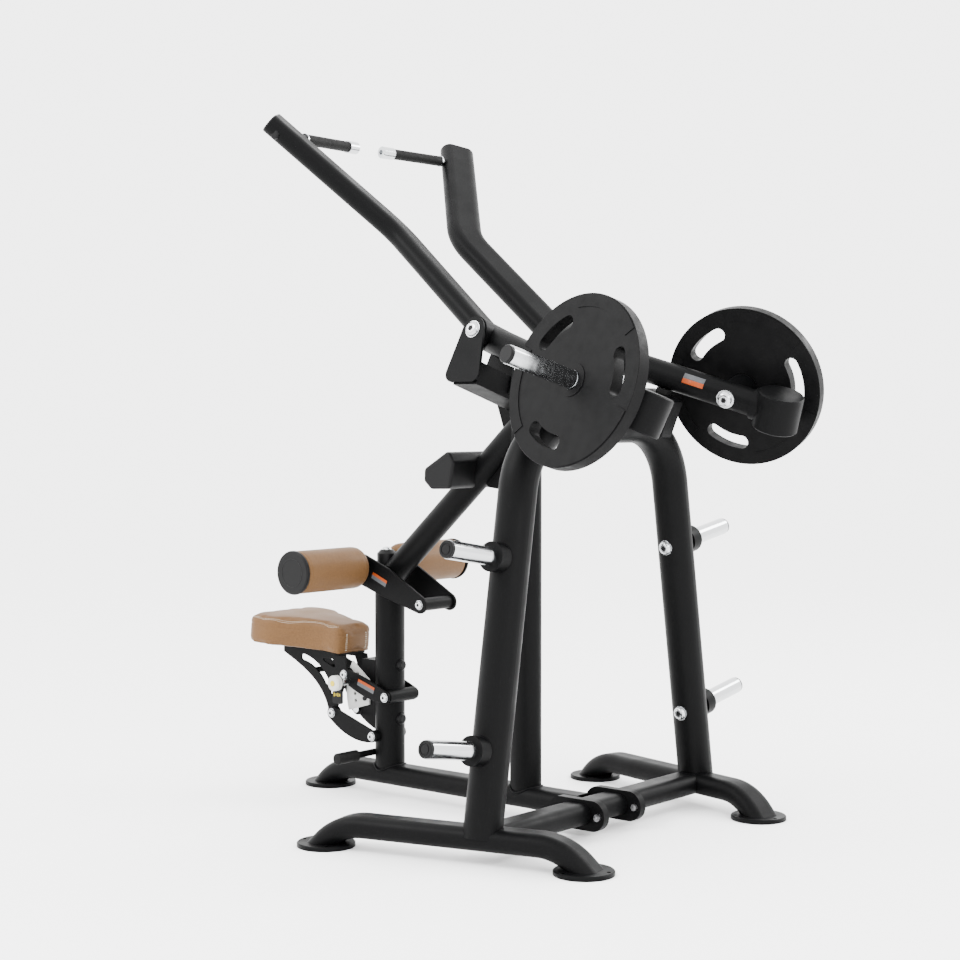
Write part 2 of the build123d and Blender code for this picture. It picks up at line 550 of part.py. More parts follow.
def build_thigh_bracket(diagonal_outer):
    outline = hull_plate([(-420, 688, 46), (-330, 655, 44), (*BRACKET_END, 26)])
    plate = yz_plate(outline, BRACKET_X, BRACKET_T)
    plate = chamfer(plate.edges().filter_by(Plane.YZ), 1)
    plate -= rod((0, ROLLER_Y, ROLLER_Z), (1, 0, 0), 200, ROLLER_SHAFT_R)
    plate -= rod((0, *BRACKET_END), (1, 0, 0), 200, PIN_R)
    tie = Pos(0, POST_Y - 5, POST_TOP + 5) * Box(2 * BRACKET_X, 60, 10) - diagonal_outer
    tie = tie.solids().sort_by(SortBy.VOLUME)[-1]
    spacer = rod((-BRACKET_X, *BRACKET_END), (1, 0, 0), 2 * BRACKET_X, 19, PIN_R)
    save("thigh_bracket", *pair_of(plate), tie, spacer)
    outer = BRACKET_X + BRACKET_T
    pin = rod((-outer, *BRACKET_END), (1, 0, 0), 2 * outer, PIN_R)
    head = button_bolt((outer, *BRACKET_END), (1, 0, 0), LINK_BOLT_R, LINK_BOLT_T)
    root = Vector(0, POST_Y - 12, POST_TOP + 10)
    dome = bevel_rod(root, (0, 0, 1), CAP_H, CAP_R, 11) - diagonal_outer
    stud = button_bolt(root + Z_AXIS * CAP_H, Z_AXIS, 15, LINK_BOLT_T)
    save("thigh_cap", dome.solids().sort_by(SortBy.VOLUME)[-1])
    return [pin, *pair_of(head), stud]


def build_pod(diagonal_outer):
    """The moulded tray on the diagonal, with a flat panel that slopes towards the user."""
    outline = make_face(Polyline(*POD_EDGE, close=True))
    outline = fillet(outline.vertices(), 14)
    body = yz_plate(outline, -POD_HALF, 2 * POD_HALF)
    body = fillet(body.edges().filter_by(Plane.YZ), 8)
    (top_y, top_z), (low_y, low_z) = POD_EDGE[3:5]
    middle = Vector(0, (top_y + low_y) / 2, (top_z + low_z) / 2)
    slope = Vector(0, low_y - top_y, low_z - top_z)
    out = Vector(0, slope.Z, -slope.Y).normalized()
    face = frame(middle - out * 3, out, (1, 0, 0))
    recess = extrude(face * RectangleRounded(2 * POD_HALF - 36, slope.length - 34, 12), amount=10)
    panel = extrude(face * RectangleRounded(2 * POD_HALF - 36, slope.length - 34, 12), amount=2)
    save("pod", body - recess - diagonal_outer, panel)


def build_foot_peg(post_outer):
    start = (0, PEG_SPOT[0], PEG_SPOT[1])
    bar = rod(start, (1, 0, 0), PEG_OUT - 3, PEG_R) - post_outer
    save("foot_peg", bar.solids().sort_by(Axis.X)[-1])
    grip = bevel_rod((PEG_IN, *PEG_SPOT), (1, 0, 0), PEG_OUT - PEG_IN, PEG_GRIP_R, 3)
    save("foot_peg_grip", grip - rod(start, (1, 0, 0), PEG_OUT - 3, PEG_R))


# ---- seat ------------------------------------------------------------------------------------
def turned(point, pivot, angle):
    """A (y, z) point turned about a pivot; a positive angle lowers the front."""
    y, z = point[0] - pivot[0], point[1] - pivot[1]
    c, s = cos(radians(angle)), sin(radians(angle))
    return (pivot[0] + y * c - z * s, pivot[1] + y * s + z * c)


def build_index(post_outer):
    """The height plate and its bracket, bolted through the front post."""
    rim = [(UPPER_REAR[0] + INDEX_R * cos(radians(a)), UPPER_REAR[1] + INDEX_R * sin(radians(a)))
           for a in (150, 174, 198)]
    inner_top, inner_low = (-424, 348), (-424, 272)
    edge = Polyline(rim[0], inner_top, inner_low, rim[2]) + ThreePointArc(*rim)
    plate = yz_plate(make_face(edge), INDEX_X, INDEX_T)
    for angle in LATCH_STEPS:
        y, z = turned(LATCH, UPPER_REAR, angle)
        plate -= rod((0, y, z), (1, 0, 0), 100, LATCH_R + 0.4)
    for y, z in INDEX_SCREWS:
        plate -= rod((0, y, z), (1, 0, 0), 100, 4)
    save("index_plate", plate)
    screws = [rod((INDEX_X - 6, y, z), (1, 0, 0), 12, 4) + rod((INDEX_X + INDEX_T, y, z), (1, 0, 0), 5, 7)
              for y, z in INDEX_SCREWS]
    block = Pos(0, -430, 325) * Box(2 * INDEX_X, 56, 170)
    block -= Pos(0, -440, 325) * Box(2 * INDEX_X - 12, 56, 140)
    for y, z in INDEX_SCREWS:
        block -= rod((INDEX_X - 6, y, z), (1, 0, 0), 12, 4)
    save("seat_bracket", block - post_outer)
    rear = POST_Y + POST_D / 2
    domes = []
    for z in POST_BOLTS_Z:
        dome = bevel_rod((0, rear - 3, z), (0, 1, 0), 14, 17, 6)
        domes.append(dome - post_outer)
    save("bracket_bolts", *domes, *screws)


def link_plate(rear, waist, belly):
    """One boat-shaped link plate; waist is its mid radius and belly lowers its middle."""
    front = (rear[0] + LINK[0], rear[1] + LINK[1])
    spots = []
    for k in range(9):
        along, bow = k / 8, 1 - (k / 4 - 1) ** 2
        edge = 18 + 2 * along
        spots.append((rear[0] + LINK[0] * along, rear[1] + LINK[1] * along - belly * bow,
                      edge + (waist - edge) * bow))
    plate = yz_plate(hull_plate(spots), LINK_X, LINK_T)
    plate = chamfer(plate.edges().filter_by(Plane.YZ), 1)
    for y, z in (rear, front):
        plate -= rod((0, y, z), (1, 0, 0), 200, PIN_R)
    return plate


def link_pins(rear):
    """The through pin at the rear and a short bolt and nut on each side at the front."""
    outer = LINK_X + LINK_T
    front = (rear[0] + LINK[0], rear[1] + LINK[1])
    long_pin = rod((-outer, *rear), (1, 0, 0), 2 * outer, PIN_R)
    short = rod((NUT_X, *front), (1, 0, 0), outer - NUT_X, PIN_R)
    short += rod((NUT_X, *front), (1, 0, 0), CARRIAGE_X - NUT_X - GAP, 12)
    heads = [button_bolt((outer, *spot), (1, 0, 0), LINK_BOLT_R, LINK_BOLT_T) for spot in (rear, front)]
    return [long_pin, *pair_of(short), *[p for h in heads for p in pair_of(h)]]


def build_links():
    upper = link_plate(UPPER_REAR, 27, 4)
    barrel_at = (LINK_X + LINK_T, *LATCH)
    upper_hole = rod((0, *LATCH), (1, 0, 0), 200, LATCH_R + RUN)
    save("seat_upper_links", upper - upper_hole, mirrored(upper))
    lower = link_plate(LOWER_REAR, 27, 12)
    save("seat_lower_links", *pair_of(lower))
    barrel = bevel_rod(barrel_at, (1, 0, 0), BARREL_LEN, 11, 2, LATCH_R + RUN)
    save("upper_link_pins", *link_pins(UPPER_REAR), barrel)
    save("lower_link_pins", *link_pins(LOWER_REAR))
    knob_in = LINK_X + LINK_T + BARREL_LEN + LATCH_PULL + 3
    tip = INDEX_X + INDEX_T + GAP
    pin = rod((tip, *LATCH), (1, 0, 0), knob_in + 10 - tip, LATCH_R)
    knob = bevel_rod((knob_in, *LATCH), (1, 0, 0), 24, 23.5, 4)
    knob -= rod((knob_in, *LATCH), (1, 0, 0), 10, LATCH_R)
    save("release_knob", knob, pin)


def seat_frame(drop=0.0):
    """A plane on the cushion's underside: x across, y forward along the slope, z up."""
    forward = Vector(0, -cos(radians(SEAT_TILT)), sin(radians(SEAT_TILT)))
    up = Vector(0, sin(radians(SEAT_TILT)), cos(radians(SEAT_TILT)))
    origin = Vector(0, *SEAT_REAR) - up * drop
    return Plane(origin=origin, x_dir=up.cross(forward) * -1, z_dir=up)


def build_carriage():
    """Two windowed side plates, a top plate, cross ties and the height block."""
    edge = Polyline((-526, 460), (-777, 470), (-777, 409))
    edge += Spline((-777, 409), (-705, 374), (-618, 310), (-583, 251))
    edge += Polyline((-583, 251), LOWER_FRONT, UPPER_FRONT, (-526, 460))
    upper_boss = Pos(*UPPER_FRONT) * Circle(20)
    lower_boss = Pos(*LOWER_FRONT) * Circle(20)
    sheet = make_face(edge) + upper_boss + lower_boss
    sheet += hull_plate([(*LOWER_FRONT, 20), (LOWER_FRONT[0] - 12, LOWER_FRONT[1] + 10, 20)])
    slot = SlotArc(ThreePointArc((-690, 398), (-632, 375), (-588, 330)), 20)
    triangle = make_face(Polyline((-625, 402), (-562, 402), (-548, 372), close=True))
    sheet -= slot
    sheet -= fillet(triangle.vertices(), 5)
    sheet -= Pos(-560, 300) * Circle(13)
    plate = yz_plate(sheet, CARRIAGE_X, CARRIAGE_T)
    above = frame((0, *SEAT_REAR), seat_frame().z_dir, (1, 0, 0)).offset(-BASE_PLATE_T)
    plate -= extrude(above * Rectangle(400, 900), amount=200)
    for spot, bore in ((UPPER_FRONT, PIN_R + RUN), (LOWER_FRONT, PIN_R + OPEN_PIVOT)):
        boss_len = LINK_X - GAP - CARRIAGE_X - CARRIAGE_T
        plate += rod((CARRIAGE_X + CARRIAGE_T, *spot), (1, 0, 0), boss_len, BOSS_R - 3)
        plate -= rod((0, *spot), (1, 0, 0), 200, bore)
    for angle in range(LATCH_STEPS[0] - 2, LATCH_STEPS[-1] + 4, 4):
        y, z = turned(LATCH, UPPER_FRONT, angle)
        plate -= rod((0, y, z), (1, 0, 0), 200, LATCH_R + 1)
    ties = [rod((-CARRIAGE_X, y, z), (1, 0, 0), 2 * CARRIAGE_X, 9) for y, z in ((-745, 415), (-655, 358))]
    top = seat_frame(BASE_PLATE_T) * Pos(0, (SEAT_LEN - 55) / 2 + 10)
    base = extrude(top * RectangleRounded(130, SEAT_LEN - 75, 14), amount=BASE_PLATE_T)
    save("seat_carriage", *pair_of(plate), *ties, base)
    block = Pos(CARRIAGE_X + CARRIAGE_T + 3, -538, 286) * Box(6, 40, 40)
    save("height_block", chamfer(block.edges().filter_by(Axis.X), 4))


def build_cushion():
    """A bicycle-like pad: a narrow tail, a waist and a wide front."""
    right = [(SEAT_TAIL, 0), (SEAT_WAIST, 95), (SEAT_FRONT, 235), (SEAT_FRONT, SEAT_LEN)]
    left = [(-x, y) for x, y in reversed(right)]
    outline = make_face(Polyline(*right, *left, close=True))
    corners = {0: 26, 95: 120, 235: 90, SEAT_LEN: 60}
    for reach, radius in corners.items():
        spots = [v for v in outline.vertices() if abs(v.Y - reach) < 0.5]
        outline = fillet(spots, radius)
    pad = extrude(seat_frame() * outline, amount=SEAT_T)
    top = pad.faces().sort_by(lambda f: f.center().dot(seat_frame().z_dir))[-1]
    save("seat_cushion", fillet(top.edges(), 14))


def main():
    os.makedirs("parts", exist_ok=True)
    centre_outer, leg_outer, inner_bolts = build_stand()
    diagonal_outer, post_outer = build_uprights(centre_outer, leg_outer)
    build_arm()
    save_sides("weight_plate", weight_plate())
    build_rollers()
    frame_bolts(inner_bolts, build_thigh_bracket(diagonal_outer))
    build_pod(diagonal_outer)
    build_foot_peg(post_outer)
    build_index(post_outer)
    build_links()
    build_carriage()
    build_cushion()


if __name__ == "__main__":
    main()
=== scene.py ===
import json
from math import cos, exp, pi, radians, sin

import bmesh
import bpy
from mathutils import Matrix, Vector
from mathutils.bvhtree import BVHTree


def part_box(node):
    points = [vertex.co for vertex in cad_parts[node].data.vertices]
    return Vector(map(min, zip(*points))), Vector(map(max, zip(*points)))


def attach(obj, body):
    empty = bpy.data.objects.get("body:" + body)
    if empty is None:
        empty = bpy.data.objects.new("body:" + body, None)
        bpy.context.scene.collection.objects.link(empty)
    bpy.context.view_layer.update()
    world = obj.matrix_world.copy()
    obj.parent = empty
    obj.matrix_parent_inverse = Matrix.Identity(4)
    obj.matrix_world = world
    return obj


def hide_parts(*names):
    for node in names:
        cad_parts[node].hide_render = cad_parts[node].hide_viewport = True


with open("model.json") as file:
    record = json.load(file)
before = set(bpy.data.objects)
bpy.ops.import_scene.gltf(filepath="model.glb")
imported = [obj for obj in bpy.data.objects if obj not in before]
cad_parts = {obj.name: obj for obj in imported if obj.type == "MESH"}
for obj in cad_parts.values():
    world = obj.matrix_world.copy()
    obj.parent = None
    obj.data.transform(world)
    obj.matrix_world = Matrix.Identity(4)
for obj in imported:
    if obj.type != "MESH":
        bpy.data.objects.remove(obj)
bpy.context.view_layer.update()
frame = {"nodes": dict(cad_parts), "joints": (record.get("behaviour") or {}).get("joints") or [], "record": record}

nodes = frame["nodes"]
scene = bpy.context.scene

# ---- camera ----------------------------------------------------------------------------------
CAMERA_AZIMUTH, CAMERA_ELEVATION = 129.823, 1.972
CAMERA_PLACE = Vector((4.1206, 3.4200, 1.150))
LENS = 69.24


def add_camera():
    data = bpy.data.cameras.new("camera")
    data.lens = LENS
    data.sensor_width = 36
    data.clip_end = 100
    camera = bpy.data.objects.new("camera", data)
    scene.collection.objects.link(camera)
    az, el = radians(CAMERA_AZIMUTH), radians(CAMERA_ELEVATION)
    back = Vector((sin(az) * cos(el), -cos(az) * cos(el), sin(el)))
    camera.location = CAMERA_PLACE
    camera.rotation_euler = (-back).to_track_quat("-Z", "Y").to_euler()
    scene.camera = camera


# ---- materials -------------------------------------------------------------------------------
def new_material(name, color, roughness, metallic=0.0):
    mat = bpy.data.materials.new(name)
    mat.use_nodes = True
    shader = mat.node_tree.nodes["Principled BSDF"]
    shader.inputs["Base Color"].default_value = (*color, 1)
    shader.inputs["Roughness"].default_value = roughness
    shader.inputs["Metallic"].default_value = metallic
    return mat, mat.node_tree, shader


def place(tree):
    return tree.nodes.new("ShaderNodeTexCoord").outputs["Object"]


def noise(tree, scale, detail=4.0, stretch=(1, 1, 1)):
    mapping = tree.nodes.new("ShaderNodeMapping")
    mapping.inputs["Scale"].default_value = stretch
    tree.links.new(place(tree), mapping.inputs["Vector"])
    node = tree.nodes.new("ShaderNodeTexNoise")
    node.inputs["Scale"].default_value = scale
    node.inputs["Detail"].default_value = detail
    tree.links.new(mapping.outputs["Vector"], node.inputs["Vector"])
    return node.outputs["Fac"]


def cells(tree, scale, feature="DISTANCE_TO_EDGE"):
    node = tree.nodes.new("ShaderNodeTexVoronoi")
    node.feature = feature
    node.inputs["Scale"].default_value = scale
    tree.links.new(place(tree), node.inputs["Vector"])
    return node.outputs["Distance"]


def ramp(tree, source, stops):
    """Spread a grey value over (position, colour) stops."""
    node = tree.nodes.new("ShaderNodeValToRGB")
    first, last = node.color_ramp.elements
    first.position, first.color = stops[0][0], (*stops[0][1], 1)
    last.position, last.color = stops[-1][0], (*stops[-1][1], 1)
    for position, color in stops[1:-1]:
        middle = node.color_ramp.elements.new(position)
        middle.color = (*color, 1)
    tree.links.new(source, node.inputs["Fac"])
    return node.outputs["Color"]


def spread(tree, source, low, high):
    node = tree.nodes.new("ShaderNodeMapRange")
    node.inputs["From Min"].default_value = 0.3
    node.inputs["From Max"].default_value = 0.7
    node.inputs["To Min"].default_value = low
    node.inputs["To Max"].default_value = high
    tree.links.new(source, node.inputs["Value"])
    return node.outputs["Result"]


def bump(tree, shader, heights):
    """Chain bumps: each height is (source, strength, distance in metres)."""
    normal = None
    for source, strength, distance in heights:
        node = tree.nodes.new("ShaderNodeBump")
        node.inputs["Strength"].default_value = strength
        node.inputs["Distance"].default_value = distance
        tree.links.new(source, node.inputs["Height"])
        if normal is not None:
            tree.links.new(normal, node.inputs["Normal"])
        normal = node.outputs["Normal"]
    tree.links.new(normal, shader.inputs["Normal"])


def powder_coat():
    """Fine-textured black powder coat with pale specks and faint handling marks."""
    mat, tree, shader = new_material("powder_black", (0.0014, 0.00145, 0.0016), 0.42)
    speck = noise(tree, 900, 2)
    tone = ramp(tree, speck, [(0.35, (0.0008, 0.00082, 0.0009)), (0.62, (0.0016, 0.00165, 0.0018)),
                              (0.78, (0.009, 0.0093, 0.0097))])
    tree.links.new(tone, shader.inputs["Base Color"])
    tree.links.new(spread(tree, noise(tree, 14, 6), 0.4, 0.52), shader.inputs["Roughness"])
    shader.inputs["Specular IOR Level"].default_value = 0.05
    bump(tree, shader, [(noise(tree, 620, 3), 0.32, 0.0004), (noise(tree, 60, 2), 0.06, 0.001)])
    return mat


def coated_iron():
    """Matt black plate coating over cast iron, a little uneven, scuffed where plates rub."""
    mat, tree, shader = new_material("plate_iron", (0.0012, 0.0012, 0.0013), 0.5)
    tone = ramp(tree, noise(tree, 26, 7), [(0.3, (0.0008, 0.0008, 0.0009)), (0.72, (0.0019, 0.0019, 0.002))])
    tree.links.new(tone, shader.inputs["Base Color"])
    tree.links.new(spread(tree, noise(tree, 40, 8), 0.38, 0.56), shader.inputs["Roughness"])
    shader.inputs["Specular IOR Level"].default_value = 0.06
    bump(tree, shader, [(noise(tree, 420, 5), 0.22, 0.0004), (noise(tree, 18, 3), 0.08, 0.002)])
    return mat


def bright_metal(name, color, low, high, stretch):
    """Plated or turned metal with fine marks along its working direction."""
    mat, tree, shader = new_material(name, color, low, 1.0)
    marks = noise(tree, 90, 3, stretch)
    tree.links.new(spread(tree, marks, low, high), shader.inputs["Roughness"])
    bump(tree, shader, [(marks, 0.015, 0.0001)])
    return mat


def moulded_plastic(name, color, roughness, grain=700):
    mat, tree, shader = new_material(name, color, roughness)
    uneven = spread(tree, noise(tree, 50, 5), roughness - 0.06, roughness + 0.07)
    tree.links.new(uneven, shader.inputs["Roughness"])
    shader.inputs["Specular IOR Level"].default_value = 0.1
    bump(tree, shader, [(cells(tree, grain), 0.15, 0.0003)])
    return mat


def rubber():
    """Matt grip rubber with a fine knurled pebble."""
    mat, tree, shader = new_material("rubber_black", (0.002, 0.002, 0.002), 0.62)
    tree.links.new(spread(tree, noise(tree, 90, 5), 0.55, 0.72), shader.inputs["Roughness"])
    shader.inputs["Specular IOR Level"].default_value = 0.1
    bump(tree, shader, [(cells(tree, 520), 0.4, 0.0005), (noise(tree, 900, 2), 0.2, 0.0002)])
    return mat


def upholstery():
    """Tan upholstery leather: pebbled grain, soft tone changes, slightly worn sheen."""
    mat, tree, shader = new_material("leather_tan", (0.086, 0.042, 0.0145), 0.52)
    tone = ramp(tree, noise(tree, 300, 8), [(0.28, (0.07, 0.034, 0.0115)), (0.5, (0.086, 0.042, 0.0145)),
                                            (0.75, (0.106, 0.053, 0.019))])
    tree.links.new(tone, shader.inputs["Base Color"])
    tree.links.new(spread(tree, noise(tree, 9, 5), 0.46, 0.6), shader.inputs["Roughness"])
    shader.inputs["Specular IOR Level"].default_value = 0.14
    bump(tree, shader, [(cells(tree, 430), 0.28, 0.0004), (noise(tree, 800, 3), 0.2, 0.0002),
                        (noise(tree, 22, 3), 0.12, 0.002)])
    return mat


def thread():
    mat, tree, shader = new_material("thread_pale", (0.45, 0.4, 0.32), 0.75)
    bump(tree, shader, [(noise(tree, 2600, 3), 0.5, 0.0002)])
    shader.inputs["Sheen Weight"].default_value = 0.2
    return mat


def enamel(name, color, roughness=0.35):
    mat, tree, shader = new_material(name, color, roughness)
    uneven = spread(tree, noise(tree, 70, 5), roughness - 0.06, roughness + 0.08)
    tree.links.new(uneven, shader.inputs["Roughness"])
    shader.inputs["Specular IOR Level"].default_value = 0.15
    bump(tree, shader, [(noise(tree, 300, 4), 0.06, 0.0003)])
    return mat


def dress_nodes(mats):
    """Give every CAD node the finish of its record slot."""
    for entry in frame["record"]["subparts"]:
        obj = nodes[entry["node"]]
        if not obj.material_slots:
            obj.data.materials.append(None)
        for material_slot in obj.material_slots:
            material_slot.material = mats[entry["material_slot"]]


# ---- mesh helpers ----------------------------------------------------------------------------
def add_mesh(name, verts, faces, mat, body, smooth=True):
    mesh = bpy.data.meshes.new(name)
    mesh.from_pydata([tuple(v) for v in verts], [], faces)
    mesh.polygons.foreach_set("use_smooth", [smooth] * len(mesh.polygons))
    mesh.materials.append(mat)
    obj = bpy.data.objects.new(name, mesh)
    scene.collection.objects.link(obj)
    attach(obj, body)
    return obj


def tube_rings(path, normals, radius, sides=8, squash=1.0):
    """Rings of points round a path; normals give each ring's up direction."""
    rings = []
    count = len(path)
    for i, point in enumerate(path):
        ahead = path[min(i + 1, count - 1)] - path[max(i - 1, 0)]
        up = normals[i].normalized()
        side = ahead.cross(up).normalized()
        ring = [point + side * (radius * cos(2 * pi * k / sides))
                + up * (radius * squash * sin(2 * pi * k / sides)) for k in range(sides)]
        rings.append(ring)
    return rings


def add_rings(verts, faces, rings, closed):
    """Append a tube made of rings to the lists; an open tube gets end caps."""
    base, sides = len(verts), len(rings[0])
    for ring in rings:
        verts.extend(ring)
    spans = len(rings) if closed else len(rings) - 1
    for i in range(spans):
        j = (i + 1) % len(rings)
        for k in range(sides):
            m = (k + 1) % sides
            near, far = base + i * sides, base + j * sides
            faces.append((near + k, near + m, far + m, far + k))
    if not closed:
        faces.append(tuple(base + k for k in reversed(range(sides))))
        faces.append(tuple(base + (len(rings) - 1) * sides + k for k in range(sides)))


def resample(points, step, closed=False):
    """Evenly spaced points along a polyline."""
    loop = points + [points[0]] if closed else points
    lengths = [0.0]
    for a, b in zip(loop, loop[1:]):
        lengths.append(lengths[-1] + (b - a).length)
    count = max(2, round(lengths[-1] / step))
    out, i = [], 0
    last = count if closed else count + 1
    for n in range(last):
        want = lengths[-1] * n / count
        while i < len(lengths) - 2 and lengths[i + 1] < want:
            i += 1
        span = max(lengths[i + 1] - lengths[i], 1e-9)
        out.append(loop[i].lerp(loop[i + 1], (want - lengths[i]) / span))
    return out


# ---- padded pieces ---------------------------------------------------------------------------
SWELL_FRAMES = 20


def solid_copy(node, name, shrink, voxel):
    """A copy of a CAD solid as an even mesh, a little smaller than the solid."""
    mesh = nodes[node].data.copy()
    obj = bpy.data.objects.new(name, mesh)
    scene.collection.objects.link(obj)
    remesh = obj.modifiers.new("even", "REMESH")
    remesh.mode = "VOXEL"
    remesh.voxel_size = voxel
    bake(obj)
    bm = bmesh.new()
    bm.from_mesh(obj.data)
    bm.normal_update()
    for _ in range(3):
        bmesh.ops.smooth_vert(bm, verts=bm.verts, factor=0.5, use_axis_x=True, use_axis_y=True,
                              use_axis_z=True)
    bm.normal_update()
    for v in bm.verts:
        v.co -= v.normal * shrink
    bm.to_mesh(obj.data)
    bm.free()
    return obj


def bake(obj):
    """Replace an object's mesh by what its modifiers make of it."""
    graph = bpy.context.evaluated_depsgraph_get()
    graph.update()
    mesh = bpy.data.meshes.new_from_object(obj.evaluated_get(graph))
    obj.modifiers.clear()
    obj.data = mesh


def swell(obj, pressure, cap):
    """Inflate the cover by cloth simulation and limit how far any point moves."""
    rest = [v.co.copy() for v in obj.data.vertices]
    cloth = obj.modifiers.new("swell", "CLOTH")
    settings = cloth.settings
    settings.quality = 5
    settings.use_pressure = True
    settings.uniform_pressure_force = pressure
    settings.effector_weights.gravity = 0
    cloth.point_cache.frame_start = 1
    cloth.point_cache.frame_end = SWELL_FRAMES
    for number in range(1, SWELL_FRAMES + 1):
        scene.frame_set(number)
    bake(obj)
    scene.frame_set(1)
    for v, old in zip(obj.data.vertices, rest):
        move = v.co - old
        if move.length > cap:
            v.co = old + move * (cap / move.length)


def subdivide(obj):
    obj.modifiers.new("smooth", "SUBSURF").levels = 1
    obj.modifiers[-1].render_levels = 1
    bake(obj)
    obj.data.polygons.foreach_set("use_smooth", [True] * len(obj.data.polygons))


def tree_of(obj):
    bm = bmesh.new()
    bm.from_mesh(obj.data)
    tree = BVHTree.FromBMesh(bm)
    bm.free()
    return tree


def press_seam(obj, seam, depth, width):
    """Sink a soft groove along a seam's points."""
    tree = BVHTree.FromPolygons([tuple(p) for p in seam] + [tuple(p + Vector((0, 0, 1e-5))) for p in seam],
                                [(i, (i + 1), i + 1 + len(seam)) for i in range(len(seam) - 1)])
    moves = []
    for v in obj.data.vertices:
        _, _, _, far = tree.find_nearest(v.co, width * 2)
        if far is not None:
            moves.append((v.index, v.normal * (depth * max(0.0, 1 - (far / width) ** 2))))
    for index, move in moves:
        obj.data.vertices[index].co -= move


def sew(name, runs, body, mats, length=0.0038, radius=0.0005):
    """Thread stitches along runs of (point, normal) pairs, as one piece."""
    verts, faces = [], []
    for run in runs:
        for (a, na), (b, _) in zip(run, run[1:]):
            ahead = (b - a).normalized() * (length / 2)
            middle = (a + b) / 2 + na * (radius * 0.4)
            path = [middle - ahead - na * radius, middle - ahead * 0.6, middle + ahead * 0.6,
                    middle + ahead - na * radius]
            add_rings(verts, faces, tube_rings(path, [na] * 4, radius, 6), closed=False)
    return add_mesh(name, verts, faces, mats["thread"], body)


SEAT_TILT = radians(4.8)
STITCH_STEP = 0.0062
WAIST_FILL = 0.011              # how far the padding fills out the cushion's waist
TAIL_GAP = 0.022                # the stitched seam stops this far from the cushion's rear edge
LEG_X0, LEG_LEAN = 0.510, 0.163    # a leg's x at the floor, and its inward lean
STORAGE_Z = (0.285, 0.777)         # heights of the storage horns on a leg
BRACKET_BOLT = (0.182, 0.5946)     # behind the front post, and above the floor
HORN_ALONG = 0.534                 # pivot to loading horn, along the rear lever


class SeatPlane:
    """The cushion's own axes, worked out from its box: s runs forward along the slope, n is up."""

    def __init__(self):
        low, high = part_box("seat_cushion")
        c, s = cos(SEAT_TILT), sin(SEAT_TILT)
        dy, dz = high[1] - low[1], high[2] - low[2]
        self.length = (dy * c - dz * s) / (c * c - s * s)
        self.thickness = (dz * c - dy * s) / (c * c - s * s)
        self.half = high[0]
        self.forward = Vector((0, -c, s))
        self.up = Vector((0, s, c))
        self.origin = Vector((0, high[1] - self.thickness * s, low[2]))

    def point(self, x, s, n):
        return self.origin + Vector((x, 0, 0)) + self.forward * s + self.up * n

    def flat(self, p):
        d = p - self.origin
        return d.x, d.dot(self.forward), d.dot(self.up)


def side_loop(plane, tree, height, inset):
    """The cushion's outline at a height, moved inwards by inset, found by rays from its middle."""
    centre = plane.point(0, plane.length * 0.5, height)
    rim = []
    for k in range(360):
        angle = 2 * pi * k / 360
        out = Vector((sin(angle), 0, 0)) + plane.forward * cos(angle)
        hit, _, _, _ = tree.ray_cast(centre, out.normalized(), 1.0)
        rim.append(hit)
    rim = resample(rim, 0.002, closed=True)
    moved = []
    for i, p in enumerate(rim):
        along = rim[(i + 3) % len(rim)] - rim[i - 3]
        inwards = plane.up.cross(along).normalized()
        if inwards.dot(centre - p) < 0:
            inwards = -inwards
        moved.append(p + inwards * inset)
    return moved


def drop_on(plane, tree, points):
    """Points projected down onto the cover, with the cover's normals."""
    out = []
    for p in points:
        hit, normal, _, _ = tree.ray_cast(p + plane.up * 0.2, -plane.up, 1.0)
        if hit is not None:
            out.append((hit, normal))
    return out


def without_tail(plane, loop):
    """The closed loop cut open behind the cushion, leaving out its tail edge."""
    on_tail = [plane.flat(p)[1] < TAIL_GAP for p in loop]
    start = next(i for i in range(len(loop)) if on_tail[i - 1] and not on_tail[i])
    turned = loop[start:] + loop[:start]
    return [p for p in turned if plane.flat(p)[1] >= TAIL_GAP]


def corner_run(plane, tree, side, offset):
    """Stitches down a tail corner of the cover, from its shoulder to its hem."""
    run = []
    top, low = plane.thickness * 0.8, plane.thickness * 0.1
    steps = round((top - low) / STITCH_STEP)
    for k in range(steps + 1):
        height = top + (low - top) * k / steps
        start = plane.point(side * (0.3 + offset), -0.26, height)
        aim = plane.point(side * offset, 0.05, height) - start
        hit, normal, _, _ = tree.ray_cast(start, aim.normalized(), 1.0)
        if hit is not None:
            run.append((hit, normal))
    return run


